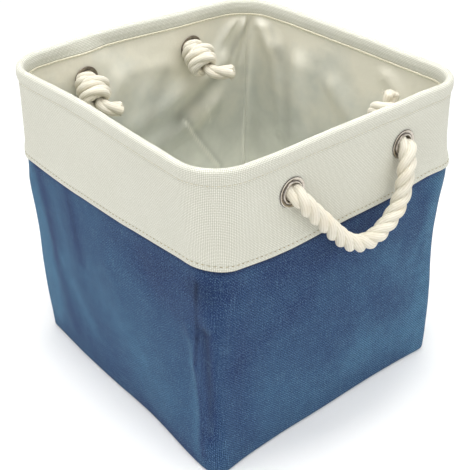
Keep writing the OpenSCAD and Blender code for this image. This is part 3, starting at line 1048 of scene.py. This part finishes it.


# ---- the base's usual blue, painted fold highlights and shadows, and painted reflections on the other pieces
paint(blue_base, "wear_light_and_shade", np.full(len(blue_base.data.vertices), BLUE_USUAL))
# Painted highlights along the lining's fold edges and painted shadows in its hollows.
paint(lining_cloth, "fold_light_and_shade", marked(vertex_places(lining_cloth), FOLD_LIGHT_AND_SHADE_MM, 0.0))
# Painted reflection: the eyelets' dish and outer edge are painted dark brown.
for piece in eyelets.values():
    places = vertex_places(piece)
    from_middle = np.hypot(np.abs(places[:, 1]) - EYELET_Y, places[:, 2] - EYELET_Z)
    valley = np.exp(-((from_middle - 10.5 * MM) / (0.55 * MM)) ** 2)
    rim = smoothstep(from_middle, 13.2 * MM, 13.5 * MM)
    paint(piece, "dark_reflection", np.maximum(valley, rim))


# ---- materials
def rgb(hexa):
    """A colour as it looks on a screen, from its usual six-digit name, in linear light."""
    parts = [int(hexa[i:i + 2], 16) / 255 for i in (0, 2, 4)]
    return tuple(p / 12.92 if p < 0.04045 else ((p + 0.055) / 1.055) ** 2.4 for p in parts) + (1.0,)


def arithmetic(operation):
    return lambda value, *others: value.recipe.math(operation, value, *others)


class Value:
    """A number that a material works out from place to place, used in sums like a plain number."""

    def __init__(self, recipe, socket):
        self.recipe = recipe
        self.socket = socket

    __add__ = arithmetic("ADD")
    __sub__ = arithmetic("SUBTRACT")
    __mul__ = arithmetic("MULTIPLY")
    __truediv__ = arithmetic("DIVIDE")
    __mod__ = arithmetic("MODULO")
    __pow__ = arithmetic("POWER")
    __abs__ = arithmetic("ABSOLUTE")


class Recipe:
    """One material's nodes, with short calls for those that the finishes here share."""

    def __init__(self, name, roughness=0.8, **constants):
        self.material = bpy.data.materials.new(name)
        self.material.use_nodes = True
        self.tree = self.material.node_tree
        self.shader = self.tree.nodes["Principled BSDF"]
        self.shader.inputs["Roughness"].default_value = roughness
        for word, value in constants.items():
            self.shader.inputs[word.replace("_", " ").title().replace("Ior", "IOR")].default_value = value

    def node(self, kind, *inputs, **settings):
        """A new node, with its first inputs linked or set."""
        made = self.tree.nodes.new(kind)
        for word, value in settings.items():
            setattr(made, word, value)
        for socket, value in zip(made.inputs, inputs):
            self.feed(socket, value)
        return made

    def feed(self, socket, value):
        if isinstance(value, Value):
            self.tree.links.new(value.socket, socket)
        else:
            socket.default_value = value

    def math(self, operation, *values):
        return Value(self, self.node("ShaderNodeMath", *values, operation=operation).outputs[0])

    def ripple(self, turns):
        """Humps from 0 to 1, one for each whole number that turns passes."""
        return abs(self.math("SINE", turns * math.pi))

    def spread(self, value, low, high, to_low=0.0, to_high=1.0):
        return Value(self, self.node("ShaderNodeMapRange", value, low, high, to_low, to_high).outputs[0])

    def blend(self, share, a, b):
        made = self.node("ShaderNodeMix", share, data_type="RGBA")
        self.feed(made.inputs[6], a)
        self.feed(made.inputs[7], b)
        return Value(self, made.outputs[2])

    def tint(self, colour, value, low, high, towards, most=1.0):
        """A colour drawn towards another: not at all where the value is low, and most where it is high."""
        return self.blend(self.spread(value, low, high, 0.0, most), colour, rgb(towards))

    def flat_map(self):
        """The cloth's own coordinates, in metres: along and up."""
        cloth = self.node("ShaderNodeUVMap", uv_map="cloth").outputs[0]
        apart = self.node("ShaderNodeSeparateXYZ", Value(self, cloth))
        return Value(self, apart.outputs[0]), Value(self, apart.outputs[1])

    def painted(self, name):
        return Value(self, self.node("ShaderNodeAttribute", attribute_name=name).outputs["Fac"])

    def noise(self, scale, detail=2.0, rough=0.5, at=None):
        """Noise from 0 to 1, at a pair of values or else in the piece's own space."""
        if at is None:
            where = Value(self, self.node("ShaderNodeTexCoord").outputs["Object"])
        else:
            where = Value(self, self.node("ShaderNodeCombineXYZ", *at).outputs[0])
        made = self.node("ShaderNodeTexNoise")
        for word, value in (("Vector", where), ("Scale", scale), ("Detail", detail), ("Roughness", rough)):
            self.feed(made.inputs[word], value)
        return Value(self, made.outputs["Fac"])

    def bump(self, height, distance, strength=1.0, under=None):
        made = self.node("ShaderNodeBump")
        for word, value in (("Height", height), ("Distance", distance), ("Strength", strength)):
            self.feed(made.inputs[word], value)
        if under is not None:
            self.feed(made.inputs["Normal"], under)
        return Value(self, made.outputs[0])

    def finish(self, colour, roughness=None, normal=None):
        for word, value in (("Base Color", colour), ("Roughness", roughness), ("Normal", normal)):
            if value is not None:
                self.feed(self.shader.inputs[word], value)
        return self.material


def plain_weave(recipe, pitch, wobble):
    """A plain weave: its height, 0 in the gaps and 1 on the threads, which thread is on top, and the
    number of threads along and up."""
    along, up = recipe.flat_map()
    drift = (recipe.noise(210, 1.0, at=(along, up)) - 0.5) * wobble
    x = along / pitch + drift
    y = up / pitch + drift
    wave_x = recipe.ripple(x)
    wave_y = recipe.ripple(y)
    odd = abs((recipe.math("FLOOR", x) + recipe.math("FLOOR", y)) % 2.0)
    warp = wave_x ** 0.9 * wave_y ** 0.35
    weft = wave_x ** 0.35 * wave_y ** 0.9
    return weft + (warp - weft) * odd, odd, x, y


def slubs(recipe, x, y):
    """Thick and thin threads: streaks that run along each thread both ways, about 1 on average."""
    tall = recipe.noise(0.9, 1.0, at=(x, y * 0.07))
    wide = recipe.noise(0.9, 1.0, at=(x * 0.07, y))
    return tall + wide


def canvas_material():
    recipe = Recipe("cream_canvas", 0.86, sheen_weight=0.08, sheen_roughness=0.5, specular_ior_level=0.3)
    height, odd, x, y = plain_weave(recipe, 1.45 * MM, 0.22)
    uneven = slubs(recipe, x, y)
    speck = recipe.noise(1.3, 2.0, 0.7, at=(x, y))
    worn = recipe.noise(14, 3.0)
    thread = recipe.blend(odd, rgb("e9e9e0"), rgb("e1e1d5"))
    thread = recipe.tint(thread, worn, 0.35, 0.65, "dddccf", 0.3)
    thread = recipe.tint(thread, uneven, 1.0, 1.35, "f0f0e6", 0.3)
    thread = recipe.tint(thread, speck, 0.5, 0.3, "c4c3b2", 0.5)
    # Painted shade: darker in the gaps between the threads.
    colour = recipe.blend(recipe.spread(height, 0.15, 0.8), rgb("a8a695"), thread)
    fuzz = recipe.noise(1900, 2.0)
    lift = height + fuzz * 0.4 + uneven * 0.25
    rough = recipe.spread(height, 0.0, 1.0, 0.95, 0.78)
    return recipe.finish(colour, rough, recipe.bump(lift, 0.19 * MM, 0.8))


def linen_material():
    """Blue cloth: a plain weave with a fine diagonal grain, lighter at worn places and painted highlights,
    darker at painted shade, and darkest at the painted shadow under the band.
    """
    recipe = Recipe("blue_linen", 0.85, sheen_weight=0.03, sheen_roughness=0.45, specular_ior_level=0.2)
    height, odd, x, y = plain_weave(recipe, 1.35 * MM, 0.12)
    uneven = slubs(recipe, x, y)
    patch = recipe.noise(9, 3.0, 0.55)
    speck = recipe.noise(1.3, 3.0, 0.8, at=(x, y))
    rubbed = recipe.noise(75, 4.0, 0.65)
    twill = recipe.ripple((x + y) * 0.5)
    # Worn places, painted highlight and painted shade, from the value painted on the blue cloth's points.
    weight = recipe.painted("wear_light_and_shade") * recipe.spread(rubbed, 0.3, 0.7, 0.72, 1.2)
    weight = weight + recipe.spread(patch, 0.3, 0.7, -0.14, 0.14)
    thread = recipe.blend(weight, rgb("213c6f"), rgb("5b90b2"))
    thread = recipe.blend(odd * 0.2, thread, rgb("1f365c"))
    thread = recipe.tint(thread, uneven, 1.05, 1.35, "6f96b2", 0.4)
    thread = recipe.tint(thread, speck, 0.51, 0.63, "7ea6c2", 0.62)
    thread = recipe.tint(thread, speck, 0.49, 0.37, "0c1c3c", 0.8)
    # Painted shade: darker in the gaps between the threads.
    colour = recipe.blend(recipe.spread(height, 0.1, 0.6), rgb("132243"), thread)
    colour = recipe.tint(colour, twill, 0.8, 0.1, "0e1c36", 0.5)
    # Painted shadow: darker still where the painted value is below zero, as under the band's lower edge.
    colour = recipe.tint(colour, weight, 0.0, -0.6, "0a1730")
    fuzz = recipe.noise(2400, 2.0)
    lift = height + fuzz * 0.5 + (uneven + speck) * 0.5 + twill * 0.6
    rough = recipe.spread(height, 0.0, 1.0, 0.95, 0.74)
    return recipe.finish(colour, rough, recipe.bump(lift, 0.25 * MM, 0.8))


def lining_material(name, on_walls):
    """Coated cloth; on the walls it has painted light, paler above and below, a welt, and painted highlights
    and shadows along its folds.
    """
    recipe = Recipe(name, 0.42, specular_ior_level=0.5)
    height = plain_weave(recipe, 0.30 * MM, 0.3)[0]
    cloud = recipe.noise(11, 4.0, 0.6)
    base = recipe.blend(recipe.spread(cloud, 0.35, 0.65), rgb("c7c9bf"), rgb("bcbfb6"))
    if on_walls:
        down = recipe.flat_map()[1]
        # Painted light: paler lower down the walls and beige towards the top.
        drop = down + recipe.spread(cloud, 0.3, 0.7, -50 * MM, 50 * MM)
        base = recipe.tint(base, drop, 110 * MM, 200 * MM, "e9eae0")
        base = recipe.tint(base, drop, 105 * MM, 25 * MM, "dedac9")
        base = recipe.tint(base, down, 5.0 * MM, 4.0 * MM, "dfdbc6")
        # Painted highlights on the folds' edges and painted shadows in their hollows.
        fold_light_and_shade = recipe.painted("fold_light_and_shade")
        base = recipe.tint(base, fold_light_and_shade, 0.0, 1.0, "f4f2e6")
        base = recipe.tint(base, fold_light_and_shade, 0.0, -1.0, "83857a")
    rub = recipe.noise(55, 4.0, 0.7)
    rough = recipe.spread(rub, 0.3, 0.7, 0.34, 0.52)
    soft = recipe.bump(recipe.noise(70, 3.0), 1.2 * MM, 0.5)
    return recipe.finish(base, rough, recipe.bump(height, 0.03 * MM, 0.3, under=soft))


def rope_material():
    recipe = Recipe("cotton_rope", 0.9, sheen_weight=0.25, sheen_roughness=0.4)
    round_, along = recipe.flat_map()
    yarn = recipe.ripple(round_ * STRAND_YARNS)
    fibre = recipe.noise(1.0, 3.0, 0.6, at=(round_ * 60.0, along * 260.0))
    fluff = recipe.noise(1500, 3.0, 0.6)
    blotch = recipe.noise(60, 2.0)
    colour = recipe.blend(recipe.spread(fibre, 0.3, 0.7), rgb("d8d2c1"), rgb("e4e0d2"))
    # Painted shade: darker in the grooves between the yarns.
    colour = recipe.blend(recipe.spread(yarn, 0.0, 0.45, 0.7, 0.0), colour, rgb("b5a98f"))
    colour = recipe.tint(colour, blotch, 0.45, 0.7, "ddd1b8", 0.4)
    lift = yarn ** 0.6 * 0.6 + fibre + fluff * 0.5
    rough = recipe.spread(fluff, 0.3, 0.7, 0.82, 0.97)
    return recipe.finish(colour, rough, recipe.bump(lift, 0.3 * MM, 0.75))


def thread_material(name, light, dark):
    recipe = Recipe(name, 0.7, sheen_weight=0.2)
    ply = recipe.noise(900, 2.0)
    colour = recipe.blend(recipe.spread(ply, 0.35, 0.65), rgb(light), rgb(dark))
    return recipe.finish(colour, recipe.spread(ply, 0.3, 0.7, 0.6, 0.8), recipe.bump(ply, 0.1 * MM, 0.5))


def metal_material(name, light, dark, low, high, scale, reflection_colour=None):
    recipe = Recipe(name, low, metallic=1.0)
    haze = recipe.noise(scale, 4.0, 0.65)
    colour = recipe.blend(recipe.spread(haze, 0.35, 0.7), rgb(light), rgb(dark))
    # Painted reflection: dark brown where the piece's painted value is high.
    if reflection_colour:
        colour = recipe.blend(recipe.painted("dark_reflection"), colour, rgb(reflection_colour))
    scratch = recipe.noise(scale * 9, 2.0)
    rough = recipe.spread(haze, 0.3, 0.75, low, high)
    return recipe.finish(colour, rough, recipe.bump(scratch, 0.01 * MM, 0.25))


def board_material():
    recipe = Recipe("grey_board", 0.92)
    fleck = recipe.noise(700, 4.0, 0.7)
    cloud = recipe.noise(25, 3.0)
    colour = recipe.blend(recipe.spread(fleck, 0.3, 0.7), rgb("a79d8c"), rgb("8b8172"))
    colour = recipe.tint(colour, cloud, 0.4, 0.6, "b4ab9a", 0.3)
    rough = recipe.spread(fleck, 0.3, 0.7, 0.85, 0.98)
    return recipe.finish(colour, rough, recipe.bump(fleck, 0.1 * MM, 0.5))


def coat(piece, material):
    piece.data.materials.clear()
    piece.data.materials.append(material)


canvas = canvas_material()
linen = linen_material()
rope_cotton = rope_material()
nickel = metal_material("nickel", "dad4ca", "b3a99b", 0.10, 0.26, 240, reflection_colour="3a3029")
dark_nickel = metal_material("dark_nickel", "a1978b", "7d7368", 0.25, 0.45, 260)
wire_steel = metal_material("rim_steel", "b4b4b2", "8e8e8c", 0.3, 0.5, 180)
grey_board = board_material()
coat(canvas_band, canvas)
coat(blue_wall, linen)
coat(blue_base, linen)
coat(lining_cloth, lining_material("coated_lining", True))
coat(lining_floor, lining_material("coated_lining_floor", False))
coat(hem_stitches, thread_material("cream_thread", "d6d0b9", "bdb69c"))
coat(edge_stitches, thread_material("tan_thread", "a99b70", "7f7450"))
coat(facing_stitches, thread_material("lining_thread", "ddd6bd", "c5bda0"))
coat(rim_wire, wire_steel)
coat(ferrule, wire_steel)
for piece in eyelets.values():
    coat(piece, nickel)
for piece in washers.values():
    coat(piece, dark_nickel)
for piece in boards.values():
    coat(piece, grey_board)
for piece in [rope for rope, _ in (*loops.values(), *knots.values())] + list(frays.values()):
    coat(piece, rope_cotton)

# ---- what each piece stands for and rides on
BIN = "bin"
RIDERS = {
    canvas_band: ("cream_canvas", ["top_band"]),
    blue_wall: ("blue_linen", ["outer_wall"]),
    blue_base: ("blue_linen", ["outer_base"]),
    lining_cloth: ("coated_lining", ["lining_wall"]),
    lining_floor: ("coated_lining", ["lining_base"]),
    rim_wire: ("rim_steel", ["rim_wire"]),
    ferrule: ("rim_steel", ["rim_ferrule"]),
    hem_stitches: ("cream_canvas", []),
    edge_stitches: ("cream_canvas", []),
    facing_stitches: ("cream_canvas", []),
}
RIDERS.update({piece: ("grey_board", [node]) for node, piece in boards.items()})
RIDERS.update({piece: ("nickel", [f"eyelet_{spot}"]) for spot, piece in eyelets.items()})
RIDERS.update({piece: ("dark_nickel", [f"washer_{spot}"]) for spot, piece in washers.items()})
RIDERS.update({piece: ("cotton_rope", [node]) for node, (piece, _) in knots.items()})
RIDERS.update({piece: ("cotton_rope", []) for piece in frays.values()})
for piece, (slot, nodes) in RIDERS.items():
    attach(piece, BIN)
    if nodes:
        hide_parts(*nodes)

for side, word in SIDES:
    rope, line = loops[word]
    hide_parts(f"handle_{word}")
    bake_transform(rope)


# ---- floor and light
ROOM_LIGHT = 0.84


def make_floor():
    deselect()
    bpy.ops.mesh.primitive_grid_add(x_subdivisions=8, y_subdivisions=8, size=14)
    floor = bpy.context.object
    floor.name = "pale_floor"
    recipe = Recipe("pale_floor", 0.9)
    cloud = recipe.noise(2.0, 2.0)
    coat(floor, recipe.finish(recipe.blend(cloud, rgb("f7f7f6"), rgb("fafaf9"))))


def soft_light(name, at, aim, size, watts, beam=180):
    data = bpy.data.lights.new(name, "AREA")
    data.energy = watts
    data.size = size
    data.spread = math.radians(beam)
    light = bpy.data.objects.new(name, data)
    bpy.context.scene.collection.objects.link(light)
    light.location = at
    light.rotation_mode = "QUATERNION"
    light.rotation_quaternion = (Vector(aim) - Vector(at)).to_track_quat("-Z", "Y")


def make_world():
    world = bpy.data.worlds.new("studio")
    world.use_nodes = True
    world.node_tree.nodes["Background"].inputs["Color"].default_value = (1, 1, 1, 1)
    world.node_tree.nodes["Background"].inputs["Strength"].default_value = ROOM_LIGHT
    bpy.context.scene.world = world


make_floor()
make_world()
soft_light("top_softbox", (0.1, -0.1, 1.9), (0, 0, 0.15), 1.6, 19)
soft_light("opening_softbox", (0.0, 0.0, 1.3), (0, 0, 0), 0.45, 0.42, 40)
soft_light("left_softbox", (-0.9, -1.7, 1.1), (0, 0, 0.15), 1.2, 5.5)
soft_light("right_softbox", (1.8, -0.2, 0.9), (0, 0, 0.15), 1.2, 4)
bpy.context.scene.view_settings.view_transform = "Standard"
